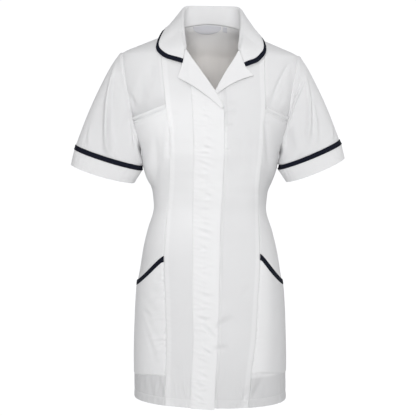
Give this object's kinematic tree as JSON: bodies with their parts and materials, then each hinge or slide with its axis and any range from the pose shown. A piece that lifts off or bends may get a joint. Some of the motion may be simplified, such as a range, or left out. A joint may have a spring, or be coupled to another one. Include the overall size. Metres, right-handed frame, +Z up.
{
  "type": "medical tunic",
  "caption": "Short-sleeved white healthcare tunic with revere collar, fly front, hip pockets and navy trim, held open as if worn.",
  "frame": {"origin": "midway between the two points where the shoulder seams meet the neck, where the wearer's shoulders and neck hold the tunic", "axes": "+Z up, the front faces -Y, the wearer's right side is at -X"},
  "size_m": [0.58, 0.2475, 0.8415],
  "materials": {
    "white_twill": "matt polyester and cotton twill",
    "navy_trim": "matt twill binding",
    "woven_label": "satin woven label, bare"
  },
  "bodies": {
    "root": {"front_right": "white_twill", "front_left": "white_twill", "front_band": "white_twill", "side_front_right": "white_twill", "side_front_left": "white_twill", "yoke_front_right": "white_twill", "yoke_front_left": "white_twill", "back": "white_twill", "hip_pocket_right": "white_twill", "hip_pocket_left": "white_twill", "sleeve_right": "white_twill", "sleeve_left": "white_twill", "cuff_right": "white_twill", "cuff_left": "white_twill", "lapel_right": "white_twill", "lapel_left": "white_twill", "collar": "white_twill", "collar_trim": "navy_trim", "hip_trim_left": "navy_trim", "hip_trim_right": "navy_trim", "sleeve_trim_left": "navy_trim", "sleeve_trim_right": "navy_trim", "neck_label": "woven_label", "size_tab": "woven_label"}
  },
  "joints": []
}
